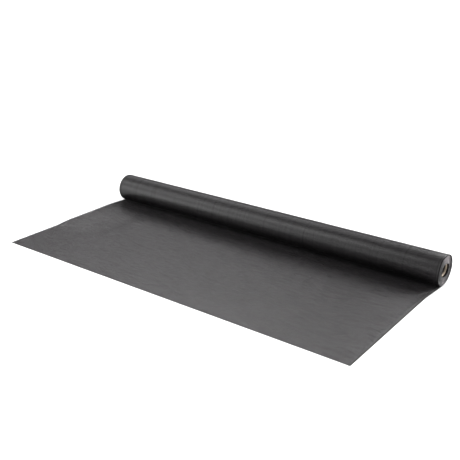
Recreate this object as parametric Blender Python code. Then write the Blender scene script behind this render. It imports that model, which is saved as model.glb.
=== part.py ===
"""A length of insect screen mesh wound on a paper core, with its loose end laid out flat.

The cloth is one solid: the wound turns, the outer lap around them and the loose end that runs
forward from under the roll. The core is a tube of wound paperboard inside it.

Metres, +Z up. +X runs along the roll. +Y runs from the loose end's cut edge to the roll. The
origin is on the floor, below the middle of the whole thing.
"""

import math

import bmesh
import bpy
from mathutils import Vector

# The cloth as cut and wound
CLOTH_WIDTH = 0.914
LOOSE_LENGTH = 0.397
SHEET_THICKNESS = 0.001
ROLL_RADIUS = 0.0351
FLAT_SPOT_WIDTH = 0.007

# The paper core, a little shorter than the cloth is wide. It is squashed to an oval that lies
# flat, so the turns are looser over and under it than at its sides.
CORE_HALF_WIDTH = 0.0195
CORE_HALF_HEIGHT = 0.0143
CORE_WALL = 0.0025
CORE_RECESS = 0.0044
CORE_RISE = 0.0006
CLEARANCE = 0.0004

# How the turns stand along the roll: the cloth crept sideways as it was unrolled
TURNS_DRIFT = 0.0050
LAP_DRIFT_MOST = 0.0094
LAP_STEP = 0.0006
FACE_WAVE = 0.0006
INNER_CREEP = 0.0020

# Sideways drift of the cloth, from the flat part in front of the roll, round its back and over
# its top to its front: (way along the cloth past the floor line, drift)
DRIFT_STEPS = (
    (-0.075, 0.0),
    (-0.048, 0.0020),
    (-0.020, 0.0044),
    (0.000, 0.0052),
    (0.028, 0.0071),
    (0.055, 0.0079),
    (0.092, 0.0083),
    (0.107, LAP_DRIFT_MOST),
    (0.116, 0.0088),
    (0.130, 0.0067),
    (0.165, 0.0064),
    (0.193, 0.0057),
    (0.221, 0.0053),
)

# The loose end's left edge stands a little off the floor. Lengths are ahead of the floor line.
EDGE_LIFT = 0.0030
LIFT_REACH = 0.150
LIFT_START_LENGTH = 0.015
LIFT_FULL_LENGTH = 0.205
LIFT_END_LENGTH = 0.265

# The outer lap's inner end sinks into the turns, at these angles round from the floor line
LAP_SINK_START = math.radians(312)
LAP_END = math.radians(335)

# Fineness of the solids. The stations are ways ahead of the floor line, and across the cloth.
TURN_STEPS = 72
SHARP_ANGLE = math.radians(35)
FLAT_STATIONS = (
    LOOSE_LENGTH,
    0.330,
    LIFT_END_LENGTH,
    0.245,
    0.225,
    LIFT_FULL_LENGTH,
    0.150,
    0.100,
    0.075,
    0.060,
    0.045,
    0.030,
    LIFT_START_LENGTH,
    0.0,
)
CROSS_STATIONS = (0.0, 0.020, 0.045, 0.075, 0.110, LIFT_REACH, 0.300, 0.457, 0.610, 0.760, CLOTH_WIDTH)

# Places that follow from the sizes
ROLL_Y = (LOOSE_LENGTH - ROLL_RADIUS) / 2
SHEET_LEFT = -(CLOTH_WIDTH + LAP_DRIFT_MOST) / 2
FLAT_HALF = FLAT_SPOT_WIDTH / 2
FLAT_ANGLE = math.asin(FLAT_HALF / ROLL_RADIUS)
AXIS_Z = ROLL_RADIUS * math.cos(FLAT_ANGLE)
TURNS_LEFT = SHEET_LEFT + TURNS_DRIFT
TURNS_RIGHT = TURNS_LEFT + CLOTH_WIDTH
TURNS_OUTER_RADIUS = ROLL_RADIUS - LAP_STEP
CORE_RADIUS = math.hypot(CORE_HALF_WIDTH, CORE_HALF_HEIGHT) / math.sqrt(2)
CORE_WIDENING = CORE_HALF_WIDTH / CORE_RADIUS - 1
CORE_LOWERING = 1 - CORE_HALF_HEIGHT / CORE_RADIUS
TURNS_INNER_RADIUS = CORE_RADIUS + CLEARANCE

CHARCOAL = (0.024, 0.024, 0.025, 1.0)
KRAFT = (0.34, 0.28, 0.22, 1.0)


def clear_scene():
    for obj in list(bpy.data.objects):
        bpy.data.objects.remove(obj, do_unlink=True)


def make_material(name, colour, roughness):
    material = bpy.data.materials.new(name)
    material.use_nodes = True
    shader = material.node_tree.nodes["Principled BSDF"]
    shader.inputs["Base Color"].default_value = colour
    shader.inputs["Roughness"].default_value = roughness
    shader.inputs["Metallic"].default_value = 0.0
    return material


def smooth_step(value, start, end):
    """0 at start, 1 at end, eased at both."""
    t = min(max((value - start) / (end - start), 0.0), 1.0)
    return t * t * (3 - 2 * t)


def drift_at(along):
    """Sideways drift of the cloth at a way along it, straight between the rows of DRIFT_STEPS."""
    if along <= DRIFT_STEPS[0][0]:
        return DRIFT_STEPS[0][1]
    for (low, low_drift), (high, high_drift) in zip(DRIFT_STEPS, DRIFT_STEPS[1:]):
        if along <= high:
            return low_drift + (high_drift - low_drift) * (along - low) / (high - low)
    return DRIFT_STEPS[-1][1]


def lift_at(across, ahead):
    """Height of the loose end over the floor, by the way from its left edge and ahead of the roll."""
    over_length = 1 - smooth_step(ahead, LIFT_FULL_LENGTH, LIFT_END_LENGTH)
    at_roll = smooth_step(ahead, 0.0, LIFT_START_LENGTH)
    over_width = 1 - smooth_step(across, 0.0, LIFT_REACH)
    return EDGE_LIFT * over_length * at_roll * over_width


def object_from(bm, name, material):
    mesh = bpy.data.meshes.new(name)
    bm.to_mesh(mesh)
    bm.free()
    mesh.materials.append(material)
    mesh.shade_smooth()
    mesh.set_sharp_from_angle(angle=SHARP_ANGLE)
    obj = bpy.data.objects.new(name, mesh)
    bpy.context.scene.collection.objects.link(obj)
    return obj


def cloth_stations():
    """(way along the cloth past the floor line, y, z, ahead of the roll) down the outer face."""
    stations = [(-ahead, ROLL_Y - ahead, 0.0, ahead) for ahead in FLAT_STATIONS]
    stations.append((FLAT_HALF, ROLL_Y + FLAT_HALF, 0.0, 0.0))
    steps = round((LAP_END - FLAT_ANGLE) / (2 * math.pi) * TURN_STEPS)
    for i in range(1, steps + 1):
        angle = FLAT_ANGLE + (LAP_END - FLAT_ANGLE) * i / steps
        sink = smooth_step(angle, LAP_SINK_START, LAP_END)
        radius = ROLL_RADIUS - sink * (LAP_STEP + CLEARANCE)
        y = ROLL_Y + radius * math.sin(angle)
        z = AXIS_Z - radius * math.cos(angle)
        stations.append((angle * ROLL_RADIUS, y, z, 0.0))
    return stations


def place_row(verts, station):
    along, y, z, ahead = station
    for vert, across in zip(verts, CROSS_STATIONS):
        x = SHEET_LEFT + across + drift_at(along)
        vert.co = Vector((x, y, z + lift_at(across, ahead)))


def build_cloth_sheet(material):
    """The loose end and the outer lap: the cut edge drawn along the floor and round the roll."""
    bm = bmesh.new()
    stations = cloth_stations()
    row = [bm.verts.new() for _ in CROSS_STATIONS]
    place_row(row, stations[0])
    edges = [bm.edges.new(pair) for pair in zip(row, row[1:])]
    for station in stations[1:]:
        drawn = bmesh.ops.extrude_edge_only(bm, edges=edges)["geom"]
        edges = [part for part in drawn if isinstance(part, bmesh.types.BMEdge)]
        edges = [edge for edge in edges if not any(vert in row for vert in edge.verts)]
        new_verts = {vert for edge in edges for vert in edge.verts}
        row = sorted(new_verts, key=lambda vert: vert.co.x)
        place_row(row, station)
    bmesh.ops.recalc_face_normals(bm, faces=bm.faces)
    if min(bm.faces, key=lambda face: face.calc_center_median().y).normal.z > 0:
        bmesh.ops.reverse_faces(bm, faces=bm.faces)
    sheet = object_from(bm, "screen_mesh", material)
    wall = sheet.modifiers.new("cloth_thickness", "SOLIDIFY")
    wall.thickness = SHEET_THICKNESS
    wall.offset = -1.0
    wall.use_even_offset = True
    return sheet


def squash_inner_turns(bm):
    """Squashes every point by its share of the core's oval: none at the outside, all at the core."""
    depth = TURNS_OUTER_RADIUS - TURNS_INNER_RADIUS
    for vert in bm.verts:
        y = vert.co.y - ROLL_Y
        z = vert.co.z - AXIS_Z
        share = min((TURNS_OUTER_RADIUS - math.hypot(y, z)) / depth, 1.0)
        vert.co.y = ROLL_Y + y * (1 + CORE_WIDENING * share)
        vert.co.z = AXIS_Z + z * (1 - CORE_LOWERING * share) + CORE_RISE * share


def turned_about_roll(profile, name, material):
    """A closed profile of (x, radius) points spun once round the roll's axis, then squashed."""
    bm = bmesh.new()
    verts = [bm.verts.new((x, ROLL_Y, AXIS_Z - radius)) for x, radius in profile]
    edges = [bm.edges.new((verts[i - 1], verts[i])) for i in range(len(verts))]
    bmesh.ops.spin(
        bm,
        geom=verts + edges,
        cent=(0, ROLL_Y, AXIS_Z),
        axis=(1, 0, 0),
        angle=2 * math.pi,
        steps=TURN_STEPS,
        use_merge=True,
    )
    squash_inner_turns(bm)
    bmesh.ops.recalc_face_normals(bm, faces=bm.faces)
    return object_from(bm, name, material)


def build_wound_turns(material):
    """The turns inside the outer lap. The inner ones crept further along the roll."""
    inner = TURNS_INNER_RADIUS
    outer = TURNS_OUTER_RADIUS
    middle = (inner + outer) / 2
    profile = (
        (TURNS_LEFT, outer),
        (TURNS_LEFT + FACE_WAVE, middle),
        (TURNS_LEFT + INNER_CREEP, inner),
        (TURNS_RIGHT + INNER_CREEP, inner),
        (TURNS_RIGHT + FACE_WAVE, middle),
        (TURNS_RIGHT, outer),
    )
    return turned_about_roll(profile, "wound_turns", material)


def build_core(material):
    left = TURNS_LEFT + INNER_CREEP + CORE_RECESS
    right = TURNS_RIGHT + INNER_CREEP - CORE_RECESS
    inner = CORE_RADIUS - CORE_WALL
    profile = (
        (left, CORE_RADIUS),
        (left, inner),
        (right, inner),
        (right, CORE_RADIUS),
    )
    return turned_about_roll(profile, "core_tube", material)


def join_turns(sheet, turns):
    """The wound turns become one body with the sheet."""
    turns.hide_render = True
    turns.display_type = "WIRE"
    union = sheet.modifiers.new("wound_turns", "BOOLEAN")
    union.operation = "UNION"
    union.solver = "EXACT"
    union.object = turns


def main():
    clear_scene()
    cloth = make_material("charcoal_mesh", CHARCOAL, 0.4)
    board = make_material("kraft_board", KRAFT, 0.85)
    sheet = build_cloth_sheet(cloth)
    join_turns(sheet, build_wound_turns(cloth))
    build_core(board)


main()
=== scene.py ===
"""Dresses a roll of insect screen mesh: its woven loose end, outer lap, wound turns and core.

The cloth is woven flat, as (across, along, height), and then laid where it lies. Across runs
from the left edge, along runs past the floor line under the roll, and height runs up from the
lower face, which is the outer face of the roll.
"""

import math

import bpy
import numpy as np
from bpy.props import FloatProperty, FloatVectorProperty, PointerProperty
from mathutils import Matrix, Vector


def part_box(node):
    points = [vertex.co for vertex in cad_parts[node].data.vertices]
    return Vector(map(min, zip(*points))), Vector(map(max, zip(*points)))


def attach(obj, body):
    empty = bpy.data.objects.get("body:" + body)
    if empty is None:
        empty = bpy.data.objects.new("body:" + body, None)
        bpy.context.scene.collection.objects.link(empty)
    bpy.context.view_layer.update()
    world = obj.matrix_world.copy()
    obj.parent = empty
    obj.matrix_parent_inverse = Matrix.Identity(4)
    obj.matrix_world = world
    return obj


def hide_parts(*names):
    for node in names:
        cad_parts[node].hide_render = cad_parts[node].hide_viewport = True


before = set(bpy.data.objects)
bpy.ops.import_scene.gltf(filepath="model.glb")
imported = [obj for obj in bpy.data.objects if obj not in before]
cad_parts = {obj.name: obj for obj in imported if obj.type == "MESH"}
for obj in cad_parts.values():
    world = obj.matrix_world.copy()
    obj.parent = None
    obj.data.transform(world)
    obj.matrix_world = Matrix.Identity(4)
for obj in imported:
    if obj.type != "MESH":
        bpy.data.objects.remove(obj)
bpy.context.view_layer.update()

bl_info = {
    "name": "Insect Screen Mesh Roll",
    "version": (1, 0, 0),
    "blender": (4, 5, 0),
    "location": "View3D > Sidebar > Screen Roll",
    "description": "Makes a roll of insect screen mesh with its loose end laid out",
    "category": "Object",
}

CLOTH_NODE = "screen_mesh"
CORE_NODE = "core_tube"
BODY = "root"
LAY_MAP = "cloth_lay"
MM = 0.001

# Sideways drift of the cloth: (way along it past the floor line, drift)
DRIFT_STEPS = (
    (-0.075, 0.0),
    (-0.048, 0.0020),
    (-0.020, 0.0044),
    (0.000, 0.0052),
    (0.028, 0.0071),
    (0.055, 0.0079),
    (0.092, 0.0083),
    (0.107, 0.0094),
    (0.116, 0.0088),
    (0.130, 0.0067),
    (0.165, 0.0064),
    (0.193, 0.0057),
    (0.221, 0.0053),
    (0.420, 0.0046),
)

# The drift is worked out at even steps, from ahead of the floor line to past the cloth's end, and
# rounded over a number of them
DRIFT_START = -0.10
DRIFT_SPARE = 0.05
DRIFT_STEP = 0.001
DRIFT_ROUNDING = 19

# The wound turns: where along the cloth they reach their even drift, how far each strays from it,
# and how far groups of turns stand out at their sides
TURNS_DRIFT = 0.0050
TURNS_EVEN_FROM = 0.60
STRAY_FROM = 0.25
STRAY_FULL_AFTER = 0.2
STRAY_STEP = 0.055
STRAY_SPARE = 0.2
TURN_EDGE_SPREAD = 0.15 * MM
STRAY_MOST = 0.9 * MM
HILL_HEIGHT = 0.7 * MM
HILL_WAVES = 6
HILL_LENGTHS = (6.0 * MM, 14.0 * MM)

# Gaps left between layers that touch
UNDER_YARN_GAP = 0.01 * MM
UNDER_LAP_GAP = 0.02 * MM
OVER_TURNS_GAP = 0.14 * MM
OVER_CORE_GAP = 0.10 * MM

# The loose end's left edge stands a little off the floor. Lengths are ahead of the floor line.
EDGE_LIFT = 0.0030
LIFT_REACH = 0.150
LIFT_START_LENGTH = 0.015
LIFT_FULL_LENGTH = 0.205
LIFT_END_LENGTH = 0.265

# Where yarns bend: places across the cloth for the bands, and ways along it for the cross yarns
BAND_STATIONS = (0.0, 0.020, 0.045, 0.075, 0.110, 0.150, 0.300, 0.457, 0.610, 0.760, 0.914)
LOOSE_STATIONS = (
    -0.397,
    -0.330,
    -0.275,
    -0.265,
    -0.255,
    -0.245,
    -0.235,
    -0.225,
    -0.215,
    -0.205,
    -0.150,
    -0.100,
    -0.080,
    -0.065,
    -0.048,
    -0.034,
    -0.020,
    -0.010,
    0.0,
)

# Fineness of the pieces, and the angles past which their edges stay sharp
LAP_STEPS = 40
RIBBON_STEP = 2.6 * MM
CORE_STEPS = 96
BAND_SIDES = 8
SELVAGE_SIDES = 4
LOOSE_YARN_SIDES = 4
PRESSED_YARN_SIDES = 3
SHARP_YARN = math.radians(60)
SHARP_SHELL = math.radians(40)

# The share of a selvage that its yarns fill: closer where the cloth is pressed round the roll
LOOSE_FILL = 0.80
PRESSED_FILL = 0.96

# A band's section is an oval whose sides are squared and whose crown is lowered by these powers
BAND_SIDE_POWER = 0.25
BAND_CROWN_POWER = 0.4

# Cross yarns end this far in front of the first band, and are at most this share of its height
FRONT_FRINGE = 0.5 * MM
CROSS_HEIGHT_SHARE = 0.8

# How yarns stray: the number of waves, and how often they may change in a metre
STRAY_WAVES = 9
STRAY_CHANGES = (25, 420)

# Where painted shade darkens the finish: ways before the outer lap's end, under the roll, and
# before the innermost end, on the innermost turn round the core
UNDER_ROLL_SHADE = (56 * MM, 36 * MM)
INNERMOST_SHADE = (160 * MM, 130 * MM)

# Half widths of the dulled line that ends a selvage, full and faded
SELVAGE_LINE = (1.4 * MM, 2.2 * MM)

# At the wound ends, painted shade is darkest at this height and gives way to painted light between
# these ways off it.
# Towards the front the painted shade deepens, between these ways behind the roll's middle.
SHADE_DARKEST_Z = 28 * MM
SHADE_TO_LIGHT_REACH = (6 * MM, 34 * MM)
FRONT_SHADE_REACH = (-18 * MM, -5 * MM)

# How far into the core the painted shade of the bore starts and is full
BORE_SHADE_REACH = (2.0 * MM, 3.6 * MM)

# How often each pattern changes in a metre, across the cloth and along it
YARN_STREAKS = (420.0, 3.0, 1.0)
BAND_STREAKS = (32.0, 150.0, 1.0)
GLOSS_RIBS = (170.0, 2.0, 1.0)
GLOSS_STREAKS = (30.0, 130.0, 1.0)
TURN_TONES = (1.0, 24.0, 1.0)
YARN_ENDS = (1.0, 550.0, 1.0)

# The same for patterns in space, along x, y and z
CLOUDS = (14.0, 14.0, 14.0)
GLOSS_PATCHES = (34.0, 34.0, 34.0)
SPECKS = (1500.0, 1500.0, 1500.0)
END_SPECKS = (1800.0, 1800.0, 1800.0)
GRAIN = (2600.0, 2600.0, 2600.0)
END_PATCHES = (190.0, 70.0, 150.0)
BOARD_FIBRES = (260.0, 900.0, 900.0)
BOARD_PULP = (45.0, 45.0, 45.0)
FLOOR_CLOUDS = (0.7, 0.7, 0.7)

# Softboxes near the roll: name, degrees round from the front, degrees up, width, height, watts
SOFTBOX_REACH = 3.0
SOFTBOXES = (
    ("left_softbox", 295, 35, 1.1, 1.1, 6.6),
    ("front_left_softbox", 312, 28, 1.1, 1.1, 4.4),
    ("high_front_left_softbox", 315, 43, 1.1, 1.1, 7.2),
    ("high_front_softbox", 328, 52, 1.1, 1.1, 7.0),
    ("low_front_softbox", 345, 11, 1.1, 1.1, 4.0),
    ("low_left_softbox", 316, 8, 1.2, 1.4, 7.3),
    ("front_softbox", 334, 28, 1.0, 1.6, 4.2),
)

# Wide lights far off, which light the floor evenly: name, degrees round, degrees up, strength
FAR_LIGHT_WIDTH = math.radians(24)
FAR_LIGHTS = (
    ("back_light", 180, 35, 3.47),
    ("high_back_light", 180, 52, 2.36),
    ("low_right_light", 135, 20, 4.9),
    ("right_light", 90, 16, 1.6),
    ("back_right_light", 135, 35, 1.48),
    ("back_left_light", 225, 35, 0.17),
    ("high_back_left_light", 240, 52, 0.19),
    ("low_left_light", 270, 20, 2.23),
    ("high_left_light", 300, 52, 0.21),
    ("low_front_left_light", 315, 10, 0.35),
)

FLOOR_SIZE = 14
CAMERA_PLACE = (0.9476, -1.2201, 0.6935)
CAMERA_TURN = (math.radians(68.144), 0.0, math.radians(36.876))
CAMERA_SENSOR = 36.0


def length_property(name, description, default):
    return FloatProperty(
        name=name, description=description, default=default, precision=5, unit="LENGTH"
    )


def colour_property(name, description, default):
    return FloatVectorProperty(
        name=name, description=description, default=default, size=3, subtype="COLOR", min=0, max=1
    )


class ClothSettings(bpy.types.PropertyGroup):
    """The screen cloth: its cut, its weave and its colour"""

    width: length_property("Width", "Width of the cloth, along the roll", 0.914)
    cut_length: length_property("Cut length", "Whole length of the cloth", 7.62)
    loose_length: length_property("Loose length", "Length that lies out in front", 0.397)
    band_pitch: length_property("Band pitch", "From one flat band to the next", 1.81 * MM)
    band_width: length_property("Band width", "Width of a flat band", 1.10 * MM)
    band_height: length_property("Band height", "Thickness of a flat band", 0.48 * MM)
    pressed_height: length_property("Pressed height", "Its thickness where wound", 0.26 * MM)
    cross_pitch: length_property("Cross pitch", "From one cross yarn to the next", 1.45 * MM)
    cross_width: length_property("Cross width", "Width of a cross yarn", 0.26 * MM)
    cross_height: length_property("Cross height", "Thickness of a cross yarn", 0.30 * MM)
    selvage_width: length_property("Selvage", "Width of the close-set side edges", 6.4 * MM)
    selvage_pitch: length_property("Selvage pitch", "Between the yarns of a selvage", 0.80 * MM)
    rim_width: length_property("Rim", "Width of the dulled rim along the edges", 2.2 * MM)
    wander: length_property("Wander", "How far a yarn strays from its place", 0.015 * MM)
    colour: colour_property("Yarn colour", "Colour of the coated yarn", (0.026, 0.024, 0.0255))
    cut_colour: colour_property("Cut colour", "Colour of cut yarn ends", (0.115, 0.101, 0.107))
    roughness: FloatProperty(
        name="Roughness", description="Roughness of the coated yarn", default=0.3, min=0, max=1
    )


class RollSettings(bpy.types.PropertyGroup):
    """The roll and the core it is wound on"""

    radius: length_property("Roll radius", "Outer radius of the roll", 35.1 * MM)
    flat_spot: length_property("Flat spot", "Width of the roll's flat spot", 7.0 * MM)
    turn_thickness: length_property("Turn thickness", "Thickness of a wound turn", 0.30 * MM)
    core_half_width: length_property("Core half width", "Half the oval's width", 19.5 * MM)
    core_half_height: length_property("Core half height", "Half the oval's height", 14.3 * MM)
    core_wall: length_property("Core wall", "Thickness of the core's board", 2.5 * MM)
    core_rise: length_property("Core rise", "How far the core is above the middle", 0.6 * MM)
    inner_creep: length_property("Inner creep", "Creep of the innermost turn", 2.0 * MM)
    core_rim: length_property("Core rim", "Rounding of the core's ends", 0.35 * MM)
    ply_width: length_property("Ply width", "Width of the board strip of the core", 64.0 * MM)
    board_colour: colour_property("Board colour", "Colour of the core's board", (0.34, 0.28, 0.22))


class StageSettings(bpy.types.PropertyGroup):
    """The floor, the lights and the camera"""

    floor_colour: colour_property("Floor colour", "Colour of the floor", (0.66, 0.66, 0.66))
    backdrop_light: FloatProperty(
        name="Backdrop light",
        description="Brightness of the backdrop past the floor, which lights nothing",
        default=1.0,
        min=0,
    )
    light_level: FloatProperty(
        name="Light level", description="Multiplies the power of every light", default=1.0, min=0
    )
    lens: FloatProperty(
        name="Lens", description="Focal length of the camera", default=58.34, unit="CAMERA"
    )


class Value:
    """A shader socket that takes part in sums; each sum adds its Math node"""

    def __init__(self, shade, socket):
        self.shade = shade
        self.socket = socket

    def __add__(self, other):
        return self.shade.math("ADD", self, other)

    def __sub__(self, other):
        return self.shade.math("SUBTRACT", self, other)

    def __rsub__(self, other):
        return self.shade.math("SUBTRACT", other, self)

    def __mul__(self, other):
        return self.shade.math("MULTIPLY", self, other)

    __radd__ = __add__
    __rmul__ = __mul__


class Shade:
    """One material and the ways its nodes are added"""

    def __init__(self, name, **surface):
        self.material = bpy.data.materials.new(name)
        self.material.use_nodes = True
        self.tree = self.material.node_tree
        self.surface = self.tree.nodes["Principled BSDF"]
        self.feed(self.surface, {key.replace("_", " "): value for key, value in surface.items()})

    def feed(self, node, sockets):
        for key, value in sockets.items():
            if isinstance(value, Value):
                self.tree.links.new(value.socket, node.inputs[key])
            else:
                node.inputs[key].default_value = value

    def add(self, kind, settings=None, sockets=None, out=0):
        node = self.tree.nodes.new(kind)
        for key, value in (settings or {}).items():
            setattr(node, key, value)
        self.feed(node, sockets or {})
        return Value(self, node.outputs[out])

    def math(self, operation, *values):
        return self.add("ShaderNodeMath", {"operation": operation}, dict(enumerate(values)))

    def mix(self, factor, first, second):
        sockets = {0: factor, 6: self.opaque(first), 7: self.opaque(second)}
        return self.add("ShaderNodeMix", {"data_type": "RGBA"}, sockets, out=2)

    def opaque(self, colour):
        return colour if isinstance(colour, Value) else (*tuple(colour)[:3], 1.0)

    def noise(self, where, stretch, detail=2.0):
        """A soft noise about 0.5, by how often it changes in a metre on each axis"""
        sockets = {"Vector": where, "Scale": stretch}
        moved = self.add("ShaderNodeMapping", {}, sockets)
        settings = {"noise_dimensions": "3D"}
        sockets = {"Vector": moved, "Scale": 1.0, "Detail": detail, "Roughness": 0.55}
        return self.add("ShaderNodeTexNoise", settings, sockets)

    def span(self, value, low, high, to_low=0.0, to_high=1.0):
        """A value's range eased to another range, and held at both ends"""
        sockets = {"Value": value, 1: low, 2: high, 3: to_low, 4: to_high}
        return self.add("ShaderNodeMapRange", {"interpolation_type": "SMOOTHSTEP"}, sockets)

    def parts(self, vector):
        """The x, y and z of a vector"""
        split = self.add("ShaderNodeSeparateXYZ", {}, {"Vector": vector})
        return [Value(self, output) for output in split.socket.node.outputs]

    def bump(self, height, distance, strength):
        sockets = {"Height": height, "Distance": distance, "Strength": strength}
        return self.add("ShaderNodeBump", {}, sockets)

    def dim(self, share, colour):
        """Mixes a share of a plain surface without gloss into the finish"""
        sockets = {"Base Color": self.opaque(colour), "Roughness": 1.0, "Specular IOR Level": 0.0}
        plain = self.add("ShaderNodeBsdfPrincipled", {}, sockets)
        glossy = Value(self, self.surface.outputs[0])
        mixed = self.add("ShaderNodeMixShader", {}, {0: share, 1: glossy, 2: plain})
        self.tree.links.new(mixed.socket, self.tree.nodes["Material Output"].inputs["Surface"])

    def finish(self, **sockets):
        self.feed(self.surface, {key.replace("_", " "): value for key, value in sockets.items()})
        return self.material


class Lie:
    """Where each part of the cloth lies, on the floor and round the roll"""

    def __init__(self, cloth, roll):
        low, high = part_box(CLOTH_NODE)
        self.left = low.x
        self.front = low.y
        self.radius = roll.radius
        self.roll_y = self.front + cloth.loose_length
        flat_angle = math.asin(roll.flat_spot / 2 / roll.radius)
        self.axis_z = roll.radius * math.cos(flat_angle)
        self.flat_half = roll.flat_spot / 2
        self.lap_length = 2 * math.pi * roll.radius
        self.wound_end = cloth.cut_length - cloth.loose_length
        self.lap_rise = cloth.pressed_height + UNDER_LAP_GAP
        self.wound_start = roll.radius - self.lap_rise - OVER_TURNS_GAP
        self.core_radius = math.hypot(roll.core_half_width, roll.core_half_height) / math.sqrt(2)
        self.core_widening = roll.core_half_width / self.core_radius - 1
        self.core_lowering = 1 - roll.core_half_height / self.core_radius
        self.wound_stop = self.core_radius + roll.turn_thickness + OVER_CORE_GAP
        wound_area = math.pi * (self.wound_start**2 - self.wound_stop**2)
        self.turn_pitch = wound_area / (self.wound_end - self.lap_length)
        self.squeeze = 1 - (roll.radius - self.axis_z) / (roll.radius - self.wound_stop)
        self.core_rise = roll.core_rise
        self.inner_creep = roll.inner_creep
        self.core_z = self.axis_z + roll.core_rise
        self.drift_table = self.make_drift()

    def make_drift(self):
        """The drift, rounded at its steps, with the small stray of each wound turn added."""
        along = np.arange(DRIFT_START, self.wound_end + DRIFT_SPARE, DRIFT_STEP)
        ways, drifts = zip(*DRIFT_STEPS)
        drift = np.interp(along, (*ways, TURNS_EVEN_FROM), (*drifts, TURNS_DRIFT))
        soft = np.hanning(DRIFT_ROUNDING)
        drift = np.pad(drift, DRIFT_ROUNDING // 2, mode="edge")
        drift = np.convolve(drift, soft / soft.sum(), mode="valid")
        rng = np.random.default_rng(41)
        knots = np.arange(STRAY_FROM, self.wound_end + STRAY_SPARE, STRAY_STEP)
        strays = rng.normal(0.0, TURN_EDGE_SPREAD, len(knots))
        stray = np.clip(np.interp(along, knots, strays, left=0.0), -STRAY_MOST, STRAY_MOST)
        return along, drift + stray * np.clip((along - STRAY_FROM) / STRAY_FULL_AFTER, 0.0, 1.0)

    def turn_at(self, along):
        """The angle round the roll, from the floor line backwards, at a way along the cloth."""
        wound = self.wound_start**2 - self.turn_pitch / math.pi * (along - self.lap_length)
        sunk = self.wound_start - np.sqrt(np.maximum(wound, 0.0))
        turned = 2 * math.pi * (1 + sunk / self.turn_pitch)
        return np.where(along < self.lap_length, along / self.radius, turned)

    def depth_at(self, turn):
        """How deep a turn's outer face is below the outside of the roll."""
        first = self.lap_rise * smooth(turn, math.pi, 2 * math.pi)
        wound = self.radius - self.wound_start + self.turn_pitch * (turn / 2 / math.pi - 1)
        return np.where(turn < 2 * math.pi, first, wound)

    def hills_at(self, radius, turn):
        """How far the wound turns stand out at their sides: the same way for turns that touch."""
        rng = np.random.default_rng(23)
        out = np.zeros_like(radius)
        for _ in range(HILL_WAVES):
            waves = rng.integers(1, 4)
            length = rng.uniform(*HILL_LENGTHS)
            start = rng.uniform(0, 2 * math.pi)
            out += np.sin(waves * turn + radius * 2 * math.pi / length + start)
        return out * HILL_HEIGHT * 2 / HILL_WAVES

    def lift_at(self, across, ahead):
        """Height of the loose end over the floor."""
        over_length = 1 - smooth(ahead, LIFT_FULL_LENGTH, LIFT_END_LENGTH)
        at_roll = smooth(ahead, 0.0, LIFT_START_LENGTH)
        return EDGE_LIFT * over_length * at_roll * (1 - smooth(across, 0.0, LIFT_REACH))

    def lay(self, flat):
        """Points of flat cloth, moved to where they lie."""
        across, along, height = flat.T
        turn = self.turn_at(along)
        radius = self.radius - self.depth_at(turn) - height
        inward = (self.wound_start - radius) / (self.wound_start - self.wound_stop)
        inward = np.clip(inward, 0.0, 1.0)
        x = self.left + across + np.interp(along, *self.drift_table) + self.inner_creep * inward
        x += np.where(turn < 2 * math.pi, 0.0, self.hills_at(radius, turn))
        on_floor = along < self.flat_half
        wide = 1 + self.core_widening * inward
        high = 1 - self.core_lowering * inward
        y = self.roll_y + np.where(on_floor, along, radius * np.sin(turn) * wide)
        low = (self.radius - radius) * self.squeeze
        round_z = np.maximum(self.axis_z - radius * np.cos(turn) * high, low)
        round_z += self.core_rise * inward
        floor_z = height + self.lift_at(across, -along)
        z = np.where(on_floor, floor_z, round_z)
        return np.column_stack((x, y, z))


def smooth(value, start, end):
    """0 at start, 1 at end, eased at both."""
    t = np.clip((value - start) / (end - start), 0.0, 1.0)
    return t * t * (3 - 2 * t)


def make_active(obj):
    bpy.ops.object.select_all(action="DESELECT")
    obj.select_set(True)
    bpy.context.view_layer.objects.active = obj


def new_piece(name):
    """The object that was just added, with its place in its mesh."""
    piece = bpy.context.object
    piece.name = name
    piece.data.name = name
    bpy.ops.object.transform_apply(location=True, rotation=True, scale=True)
    return piece


def apply_modifier(piece, kind, **settings):
    modifier = piece.modifiers.new(kind.lower(), kind)
    for key, value in settings.items():
        setattr(modifier, key, value)
    make_active(piece)
    bpy.ops.object.modifier_apply(modifier=modifier.name)


def draw_yarn(name, across_cloth, sides, width, height, place, stations):
    """A straight yarn: its end face drawn out from station to station, then closed."""
    bpy.ops.object.select_all(action="DESELECT")
    start = (stations[0], place, 0) if across_cloth else (place, stations[0], 0)
    turned = (0, math.pi / 2, 0) if across_cloth else (math.pi / 2, 0, 0)
    bpy.ops.mesh.primitive_circle_add(
        vertices=sides, radius=0.5, fill_type="NGON", location=start, rotation=turned
    )
    bpy.context.object.scale = (height, width, 1) if across_cloth else (width, height, 1)
    yarn = new_piece(name)
    bpy.ops.object.mode_set(mode="EDIT")
    bpy.ops.mesh.select_all(action="SELECT")
    for before, after in zip(stations, stations[1:]):
        step = after - before
        way = (step, 0, 0) if across_cloth else (0, step, 0)
        bpy.ops.mesh.extrude_region_move(TRANSFORM_OT_translate={"value": way})
    bpy.ops.mesh.select_all(action="SELECT")
    bpy.ops.mesh.normals_make_consistent(inside=False)
    bpy.ops.object.mode_set(mode="OBJECT")
    return yarn


def repeat(piece, count, step):
    apply_modifier(
        piece,
        "ARRAY",
        count=count,
        use_relative_offset=False,
        use_constant_offset=True,
        constant_offset_displace=step,
    )


def join(pieces):
    make_active(pieces[0])
    for piece in pieces:
        piece.select_set(True)
    bpy.ops.object.join()
    return pieces[0]


def read_points(piece):
    points = np.empty(len(piece.data.vertices) * 3, np.float32)
    piece.data.vertices.foreach_get("co", points)
    return points.reshape(-1, 3).astype(float)


def write_points(piece, points):
    piece.data.vertices.foreach_set("co", points.astype(np.float32).ravel())
    piece.data.update()


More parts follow.
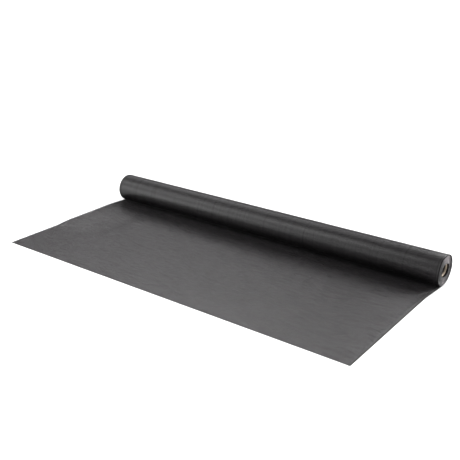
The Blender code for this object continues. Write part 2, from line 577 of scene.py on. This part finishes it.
def map_cloth(piece):
    """Keeps each point's place on the flat cloth, in metres, as the piece's UV map."""
    for layer in list(piece.data.uv_layers):
        piece.data.uv_layers.remove(layer)
    corners = np.empty(len(piece.data.loops), np.int32)
    piece.data.loops.foreach_get("vertex_index", corners)
    layer = piece.data.uv_layers.new(name=LAY_MAP)
    layer.data.foreach_set("uv", read_points(piece)[corners, :2].astype(np.float32).ravel())


def stray_yarns(points, reach):
    """Moves flat points a little, the same way for near ones, so that no hole is like the next."""
    rng = np.random.default_rng(7)
    moved = points.copy()
    for axis in (0, 1):
        for _ in range(STRAY_WAVES):
            across, along = rng.uniform(*STRAY_CHANGES, 2) * rng.choice((-1, 1), 2)
            phase = rng.uniform(0, 2 * math.pi)
            wave = np.sin(points[:, 0] * across + points[:, 1] * along + phase)
            moved[:, axis] += reach / math.sqrt(STRAY_WAVES) * wave
    return moved


def lay_cloth(piece, lie, reach=0.0):
    """Lays a flat piece of cloth where it lies, with its flat places kept as its UV map."""
    map_cloth(piece)
    flat = read_points(piece)
    if reach:
        flat = stray_yarns(flat, reach)
    write_points(piece, lie.lay(flat))


def weave(name, cloth, height, fill, lines, band_stations, cross_stations, sides):
    """Flat woven cloth: bands on their lines across it, cross yarns along it, and selvages.

    Fill is the share of a selvage that its yarns fill, and sides are those of a cross yarn."""
    size = (cloth.band_width, height)
    band = draw_yarn("band", True, BAND_SIDES, *size, lines[0], band_stations)
    flatten_band(band, *size)
    repeat(band, len(lines), (0, cloth.band_pitch, 0))
    inside = cloth.width - 2 * cloth.selvage_width
    count = round(inside / cloth.cross_pitch)
    pitch = inside / count
    start = cloth.selvage_width + pitch / 2
    size = (cloth.cross_width, min(cloth.cross_height, height * CROSS_HEIGHT_SHARE))
    yarns = [draw_yarn("cross_yarn", False, sides, *size, start, cross_stations)]
    repeat(yarns[0], count, (pitch, 0, 0))
    edge_count = round(cloth.selvage_width / cloth.selvage_pitch)
    edge_pitch = cloth.selvage_width / edge_count
    edge_size = (edge_pitch * fill, height)
    for side, place in (("left", 0.0), ("right", cloth.width - cloth.selvage_width)):
        first = place + edge_pitch / 2
        name_here = "selvage_" + side
        edge = draw_yarn(name_here, False, SELVAGE_SIDES, *edge_size, first, cross_stations)
        repeat(edge, edge_count, (edge_pitch, 0, 0))
        yarns.append(edge)
    piece = join([band, *yarns])
    piece.name = name
    piece.data.name = name
    points = read_points(piece)
    points[:, 2] += height / 2 + UNDER_YARN_GAP
    write_points(piece, points)
    make_active(piece)
    bpy.ops.object.shade_smooth_by_angle(angle=SHARP_YARN)
    return piece


def flatten_band(band, width, height):
    """Squares the round section of a band into a flattened yarn with a low crown."""
    points = read_points(band)
    centre = points[:, 1].min() + width / 2
    across = (points[:, 1] - centre) / (width / 2)
    up = points[:, 2] / (height / 2)
    points[:, 1] = centre + np.sign(across) * np.abs(across) ** BAND_SIDE_POWER * width / 2
    points[:, 2] = np.sign(up) * np.abs(up) ** BAND_CROWN_POWER * height / 2
    write_points(band, points)


def band_lines(cloth, start, end):
    """Places of the bands between two ways along the cloth, counted from the cut front edge."""
    first_line = -cloth.loose_length + FRONT_FRINGE + cloth.band_width / 2
    first = math.ceil((start - first_line) / cloth.band_pitch)
    last = math.ceil((end - first_line) / cloth.band_pitch)
    return [first_line + i * cloth.band_pitch for i in range(first, last)]


def tinted(colour, share):
    """A colour made darker or lighter."""
    return [min(channel * share, 1.0) for channel in tuple(colour)]


def yarn_tone(shade, lay, place, cloth):
    """The yarn's grey: streaks along both ways of the weave, soft clouds and fine specks."""
    yarn_streak = shade.noise(lay, YARN_STREAKS)
    band_streak = shade.noise(lay, BAND_STREAKS)
    cloud = shade.noise(place, CLOUDS, 3.0)
    speck = shade.noise(place, SPECKS, 1.0)
    tone = yarn_streak * 0.08 + band_streak * 0.34 + cloud * 0.16 + speck * 0.42
    dark = tinted(cloth.colour, 0.62)
    light = tinted(cloth.colour, 1.38)
    return shade.mix(shade.span(tone, 0.32, 0.68), dark, light)


def coated_gloss(shade, lay, place, along, grain, cloth):
    """The coating's roughness: ribs round the roll, streaks on the loose end, patches and grain."""
    rib = shade.noise(lay, GLOSS_RIBS, 1.0)
    streak = shade.noise(lay, GLOSS_STREAKS, 3.0)
    on_roll = shade.span(along, 0.0, 20 * MM)
    lines = (rib - 0.5) * on_roll * 0.11 + (streak - 0.5) * (1 - on_roll) * 0.16
    patch = shade.noise(place, GLOSS_PATCHES, 3.0)
    rough = shade.span(grain, 0.3, 0.7, cloth.roughness - 0.04, cloth.roughness + 0.04)
    return rough + lines + (patch - 0.5) * 0.04


def rim_mask(shade, across, along, cloth):
    """1 along the side edges and the cut front edge, less where a selvage ends, 0 elsewhere."""
    inward = cloth.width / 2 - shade.math("ABSOLUTE", across - cloth.width / 2)
    at_side = 1 - shade.span(inward, cloth.rim_width * 0.8, cloth.rim_width * 1.2)
    off_line = shade.math("ABSOLUTE", inward - cloth.selvage_width)
    on_line = 1 - shade.span(off_line, *SELVAGE_LINE)
    front = cloth.rim_width - cloth.loose_length
    at_front = 1 - shade.span(along, front - cloth.rim_width * 0.4, front)
    return shade.math("MAXIMUM", shade.math("MAXIMUM", at_side, on_line * 0.4), at_front)


def coated_yarn(cloth, lie):
    """Vinyl-coated yarn: mottled charcoal, softly glossy, dull on the rims, with painted shade
    under the roll.
    """
    shade = Shade("charcoal_yarn", IOR=1.5)
    lay = shade.add("ShaderNodeUVMap", {"uv_map": LAY_MAP})
    place = shade.add("ShaderNodeTexCoord", out="Object")
    grain = shade.noise(place, GRAIN)
    across, along, _ = shade.parts(lay)
    rim = rim_mask(shade, across, along, cloth)
    # Painted shade under the roll: where the outer lap turns under the roll's belly it is mixed
    # towards a dark plain surface without gloss
    under_roll_shade = shade.span(along, *(lie.lap_length - way for way in UNDER_ROLL_SHADE))
    tone = yarn_tone(shade, lay, place, cloth)
    # The painted shade under the roll and the dulled rims share one dark plain surface
    shade_and_dull_rims = shade.math("MAXIMUM", under_roll_shade * 0.8, rim * 0.6)
    shade.dim(shade_and_dull_rims, tinted(cloth.colour, 0.15))
    rough = coated_gloss(shade, lay, place, along, grain, cloth) + rim * 0.5
    return shade.finish(
        Base_Color=shade.mix(rim, tone, tinted(cloth.colour, 0.3)),
        Roughness=rough,
        Normal=shade.bump(grain, 0.03 * MM, 0.6),
    )


def wound_cloth(cloth, lie):
    """Cloth of the wound turns: painted shade in its holes, which are also sunk by bump, and
    painted shade on its innermost turn.
    """
    shade = Shade("charcoal_wound_cloth", IOR=1.5)
    lay = shade.add("ShaderNodeUVMap", {"uv_map": LAY_MAP})
    place = shade.add("ShaderNodeTexCoord", out="Object")
    across, along, _ = shade.parts(lay)
    cross_wave = shade.math("PINGPONG", across, cloth.cross_pitch / 2)
    band_wave = shade.math("PINGPONG", along, cloth.band_pitch / 2)
    cross_half = cloth.cross_width / 2
    band_half = cloth.band_width / 2
    cross_hole = shade.span(cross_wave, cross_half - 0.03 * MM, cross_half + 0.04 * MM)
    band_hole = shade.span(band_wave, band_half - 0.05 * MM, band_half + 0.05 * MM)
    # Painted shade in the holes, where the shaded turn beneath would show
    hole = cross_hole * band_hole
    # Painted shade on the innermost turn, in the recess round the core
    innermost = shade.span(along, *(lie.wound_end - way for way in INNERMOST_SHADE))
    tone = yarn_tone(shade, lay, place, cloth)
    # The colour of the painted shade, in the holes and on the innermost turn
    dark = tinted(cloth.colour, 0.2)
    grain = shade.noise(place, GRAIN)
    rough = shade.span(grain, 0.3, 0.7, cloth.roughness, cloth.roughness + 0.12)
    shade.dim(innermost * 0.85, dark)
    normal = shade.bump(1 - hole, 0.15 * MM, 0.7)
    return shade.finish(Base_Color=shade.mix(hole, tone, dark), Roughness=rough, Normal=normal)


def cut_edge(cloth, lie):
    """The side edge of the wound cloth: paler yarn ends in patches, with painted light and shade,
    darkest at the hole's height and towards the front.
    """
    shade = Shade("cut_yarn_edge", IOR=1.5)
    lay = shade.add("ShaderNodeUVMap", {"uv_map": LAY_MAP})
    place = shade.add("ShaderNodeTexCoord", out="Object")
    turn = shade.noise(lay, TURN_TONES, 3.0)
    ends = shade.noise(lay, YARN_ENDS, 1.0)
    speck = shade.noise(place, END_SPECKS, 1.0)
    patch = shade.noise(place, END_PATCHES)
    _, y, z = shade.parts(place)
    behind = y - lie.roll_y
    # Painted light and shade on the end face: darker at the hole's height and towards the front,
    # lighter to the top, bottom and back
    off_middle = shade.math("ABSOLUTE", z - SHADE_DARKEST_Z) + behind * 0.3
    painted_light_and_shade = shade.span(off_middle, *SHADE_TO_LIGHT_REACH, -0.09, 0.06)
    mottle = turn * 0.15 + ends * 0.1 + speck * 0.1 + patch * 0.65
    front = shade.span(behind, *FRONT_SHADE_REACH, -0.09, 0.0)
    tone = shade.span(mottle + painted_light_and_shade + front, 0.41, 0.60)
    rough = shade.span(speck, 0.3, 0.7, 0.45, 0.7)
    return shade.finish(
        Base_Color=shade.mix(tone, tinted(cloth.colour, 0.6), cloth.cut_colour),
        Roughness=rough,
        Normal=shade.bump(ends + speck, 0.06 * MM, 0.7),
    )


def paper_board(roll, lie):
    """Kraft board: pulp fibres, plies at the ends, a helical seam, and painted shade inside the
    bore.
    """
    shade = Shade("kraft_board", IOR=1.45)
    place = shade.add("ShaderNodeTexCoord", out="Object")
    wide = 1 + lie.core_widening
    tall = 1 - lie.core_lowering
    middle = (0, -lie.roll_y / wide, -lie.core_z / tall)
    sockets = {"Vector": place, "Location": middle, "Scale": (1, 1 / wide, 1 / tall)}
    centred = shade.add("ShaderNodeMapping", {}, sockets)
    x, y, z = shade.parts(centred)
    radius = shade.math("SQRT", y * y + z * z)
    angle = shade.math("ARCTAN2", z, y)
    winding = x + angle * (roll.ply_width / 2 / math.pi)
    seam_way = shade.math("PINGPONG", winding, roll.ply_width / 2)
    seam = 1 - shade.span(seam_way, 0.15 * MM, 0.8 * MM)
    ply = shade.math("PINGPONG", radius, 0.30 * MM)
    ply_line = 1 - shade.span(ply, 0.02 * MM, 0.09 * MM)
    facing, _, _ = shade.parts(shade.add("ShaderNodeNewGeometry", out="Normal"))
    at_end = shade.span(shade.math("ABSOLUTE", facing), 0.5, 0.9)
    fibre = shade.noise(place, BOARD_FIBRES, 4.0)
    pulp = shade.noise(place, BOARD_PULP, 4.0)
    base = roll.board_colour
    mottle = shade.span(fibre * 0.5 + pulp * 0.5, 0.33, 0.67)
    tone = shade.mix(mottle, tinted(base, 0.62), tinted(base, 1.35))
    lines = at_end * ply_line * 0.6 + (1 - at_end) * seam * 0.55
    low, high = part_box(CORE_NODE)
    inward = (high.x - low.x) / 2 - shade.math("ABSOLUTE", x - (low.x + high.x) / 2)
    # Painted shade deeper inside the bore, where little light reaches: the board turns nearly black
    bore_shade = shade.span(inward, *BORE_SHADE_REACH, 0.0, 0.97)
    lined = shade.mix(lines, tone, tinted(base, 0.3))
    colour = shade.mix(bore_shade, lined, tinted(base, 0.12))
    rough = shade.span(fibre, 0.3, 0.7, 0.78, 0.92)
    height = fibre * 0.25 - lines
    return shade.finish(
        Base_Color=colour, Roughness=rough, Normal=shade.bump(height, 0.12 * MM, 0.8)
    )


def pale_floor(stage):
    """A plain matt floor with the faintest clouds."""
    shade = Shade("pale_floor", Specular_IOR_Level=0.0)
    place = shade.add("ShaderNodeTexCoord", out="Object")
    cloud = shade.noise(place, FLOOR_CLOUDS)
    colour = shade.mix(cloud, tinted(stage.floor_colour, 0.985), stage.floor_colour)
    return shade.finish(Base_Color=colour, Roughness=0.9)


def stand_for(piece, node, slot, *materials):
    """Gives a piece its finish, puts it in the body and hides the CAD node that it stands for."""
    piece.data.materials.clear()
    for material in materials:
        piece.data.materials.append(material)
    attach(piece, BODY)
    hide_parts(node)


class SCREENROLL_OT_stage(bpy.types.Operator):
    """Lays the floor and sets up the lights and the camera"""

    bl_idname = "screenroll.stage"
    bl_label = "Stage"

    def execute(self, context):
        stage = context.scene.screenroll_stage
        context.scene.view_settings.view_transform = "Standard"
        bpy.ops.object.select_all(action="DESELECT")
        bpy.ops.mesh.primitive_plane_add(size=FLOOR_SIZE)
        floor = new_piece("floor")
        floor.data.materials.append(pale_floor(stage))
        backdrop = bpy.data.worlds.new("backdrop")
        backdrop.use_nodes = True
        background = backdrop.node_tree.nodes["Background"]
        background.inputs["Color"].default_value = (1.0, 1.0, 1.0, 1.0)
        background.inputs["Strength"].default_value = stage.backdrop_light
        for kind in ("diffuse", "glossy", "transmission", "scatter"):
            setattr(backdrop.cycles_visibility, kind, False)
        context.scene.world = backdrop
        for name, turn, rise, width, height, power in SOFTBOXES:
            lamp = self.lamp(name, "AREA", turn, rise, power * stage.light_level)
            lamp.shape = "RECTANGLE"
            lamp.size = width
            lamp.size_y = height
        for name, turn, rise, strength in FAR_LIGHTS:
            lamp = self.lamp(name, "SUN", turn, rise, strength * stage.light_level)
            lamp.angle = FAR_LIGHT_WIDTH
        self.camera(stage.lens)
        return {"FINISHED"}

    def lamp(self, name, kind, turn, rise, energy):
        """A light turned round from the front and raised, aimed at the roll's middle."""
        turn = math.radians(turn)
        rise = math.radians(rise)
        out = math.cos(rise)
        way = Vector((math.sin(turn) * out, -math.cos(turn) * out, math.sin(rise)))
        bpy.ops.object.select_all(action="DESELECT")
        bpy.ops.object.light_add(type=kind, location=way * SOFTBOX_REACH)
        lamp = bpy.context.object
        lamp.name = name
        lamp.data.energy = energy
        lamp.rotation_mode = "QUATERNION"
        lamp.rotation_quaternion = way.to_track_quat("Z", "Y")
        return lamp.data

    def camera(self, lens):
        bpy.ops.object.select_all(action="DESELECT")
        bpy.ops.object.camera_add(location=CAMERA_PLACE, rotation=CAMERA_TURN)
        camera = bpy.context.object
        camera.name = "camera"
        camera.data.lens = lens
        camera.data.sensor_width = CAMERA_SENSOR
        bpy.context.scene.camera = camera


class SCREENROLL_OT_paper_core(bpy.types.Operator):
    """Makes the paperboard tube: its wall's section, rounded and spun round the roll's axis"""

    bl_idname = "screenroll.paper_core"
    bl_label = "Paper core"

    def execute(self, context):
        roll = context.scene.screenroll_roll
        lie = Lie(context.scene.screenroll_cloth, roll)
        low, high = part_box(CORE_NODE)
        bpy.ops.object.select_all(action="DESELECT")
        wall_z = lie.core_z - lie.core_radius + roll.core_wall / 2
        bpy.ops.mesh.primitive_plane_add(
            size=1,
            location=((low.x + high.x) / 2, lie.roll_y, wall_z),
            rotation=(math.pi / 2, 0, 0),
        )
        context.object.scale = (high.x - low.x, roll.core_wall, 1)
        core = new_piece("paper_core")
        bpy.ops.object.mode_set(mode="EDIT")
        bpy.ops.mesh.select_all(action="SELECT")
        bpy.ops.mesh.bevel(offset=roll.core_rim, segments=3, affect="VERTICES")
        bpy.ops.mesh.select_all(action="SELECT")
        bpy.ops.mesh.delete(type="ONLY_FACE")
        bpy.ops.mesh.select_all(action="SELECT")
        bpy.ops.mesh.spin(
            steps=CORE_STEPS,
            angle=2 * math.pi,
            center=(0, lie.roll_y, lie.core_z),
            axis=(1, 0, 0),
        )
        bpy.ops.mesh.select_all(action="SELECT")
        bpy.ops.mesh.remove_doubles(threshold=0.01 * MM)
        bpy.ops.mesh.normals_make_consistent(inside=False)
        bpy.ops.object.mode_set(mode="OBJECT")
        middle = np.array((0.0, lie.roll_y, lie.core_z))
        oval = np.array((1.0, 1 + lie.core_widening, 1 - lie.core_lowering))
        write_points(core, middle + (read_points(core) - middle) * oval)
        bpy.ops.object.shade_smooth_by_angle(angle=SHARP_SHELL)
        stand_for(core, CORE_NODE, "kraft_board", paper_board(roll, lie))
        return {"FINISHED"}


class SCREENROLL_OT_wound_turns(bpy.types.Operator):
    """Winds the turns inside the outer lap, as one long ribbon laid in a spiral"""

    bl_idname = "screenroll.wound_turns"
    bl_label = "Wound turns"

    def execute(self, context):
        cloth = context.scene.screenroll_cloth
        roll = context.scene.screenroll_roll
        lie = Lie(cloth, roll)
        length = lie.wound_end - lie.lap_length
        bpy.ops.object.select_all(action="DESELECT")
        bpy.ops.mesh.primitive_grid_add(
            x_subdivisions=2,
            y_subdivisions=round(length / RIBBON_STEP),
            size=1,
            location=(cloth.width / 2, lie.lap_length + length / 2, roll.turn_thickness),
        )
        context.object.scale = (cloth.width, length, 1)
        turns = new_piece("wound_turns")
        finishes = (wound_cloth(cloth, lie), cut_edge(cloth, lie))
        stand_for(turns, CLOTH_NODE, "charcoal_mesh", *finishes)
        apply_modifier(
            turns, "SOLIDIFY", thickness=roll.turn_thickness, offset=-1, material_offset_rim=1
        )
        lay_cloth(turns, lie)
        bpy.ops.object.shade_smooth_by_angle(angle=SHARP_SHELL)
        return {"FINISHED"}


class SCREENROLL_OT_outer_lap(bpy.types.Operator):
    """Weaves the outermost lap yarn by yarn and lays it round the roll"""

    bl_idname = "screenroll.outer_lap"
    bl_label = "Outer lap"

    def execute(self, context):
        cloth = context.scene.screenroll_cloth
        lie = Lie(cloth, context.scene.screenroll_roll)
        stations = [lie.lap_length * i / LAP_STEPS for i in range(LAP_STEPS + 1)]
        lines = band_lines(cloth, 0.0, lie.lap_length)
        halves = (0.0, cloth.width / 2, cloth.width)
        height = cloth.pressed_height
        places = (lines, halves, stations)
        lap = weave("outer_lap", cloth, height, PRESSED_FILL, *places, PRESSED_YARN_SIDES)
        lay_cloth(lap, lie, cloth.wander)
        stand_for(lap, CLOTH_NODE, "charcoal_mesh", coated_yarn(cloth, lie))
        return {"FINISHED"}


class SCREENROLL_OT_loose_end(bpy.types.Operator):
    """Weaves the loose end yarn by yarn and lays it on the floor"""

    bl_idname = "screenroll.loose_end"
    bl_label = "Loose end"

    def execute(self, context):
        cloth = context.scene.screenroll_cloth
        lie = Lie(cloth, context.scene.screenroll_roll)
        lines = band_lines(cloth, -cloth.loose_length, 0.0)
        height = cloth.band_height
        places = (lines, BAND_STATIONS, LOOSE_STATIONS)
        end = weave("loose_end", cloth, height, LOOSE_FILL, *places, LOOSE_YARN_SIDES)
        lay_cloth(end, lie, cloth.wander)
        stand_for(end, CLOTH_NODE, "charcoal_mesh", coated_yarn(cloth, lie))
        return {"FINISHED"}


class SCREENROLL_PT_panel(bpy.types.Panel):
    """Sizes, colours and the steps that make the roll"""

    bl_label = "Screen Roll"
    bl_idname = "SCREENROLL_PT_panel"
    bl_space_type = "VIEW_3D"
    bl_region_type = "UI"
    bl_category = "Screen Roll"

    def draw(self, context):
        layout = self.layout
        for name in ("screenroll_cloth", "screenroll_roll", "screenroll_stage"):
            settings = getattr(context.scene, name)
            box = layout.box()
            for key in settings.bl_rna.properties.keys():
                if key not in {"rna_type", "name"}:
                    box.prop(settings, key)
        for operator in OPERATORS:
            layout.operator(operator.bl_idname)


OPERATORS = (
    SCREENROLL_OT_stage,
    SCREENROLL_OT_paper_core,
    SCREENROLL_OT_wound_turns,
    SCREENROLL_OT_outer_lap,
    SCREENROLL_OT_loose_end,
)
CLASSES = (ClothSettings, RollSettings, StageSettings, *OPERATORS, SCREENROLL_PT_panel)


def register():
    for kind in CLASSES:
        bpy.utils.register_class(kind)
    bpy.types.Scene.screenroll_cloth = PointerProperty(type=ClothSettings)
    bpy.types.Scene.screenroll_roll = PointerProperty(type=RollSettings)
    bpy.types.Scene.screenroll_stage = PointerProperty(type=StageSettings)


def unregister():
    del bpy.types.Scene.screenroll_stage
    del bpy.types.Scene.screenroll_roll
    del bpy.types.Scene.screenroll_cloth
    for kind in reversed(CLASSES):
        bpy.utils.unregister_class(kind)


def main():
    register()
    bpy.ops.screenroll.stage()
    bpy.ops.screenroll.paper_core()
    bpy.ops.screenroll.wound_turns()
    bpy.ops.screenroll.outer_lap()
    bpy.ops.screenroll.loose_end()


if __name__ == "__main__":
    main()
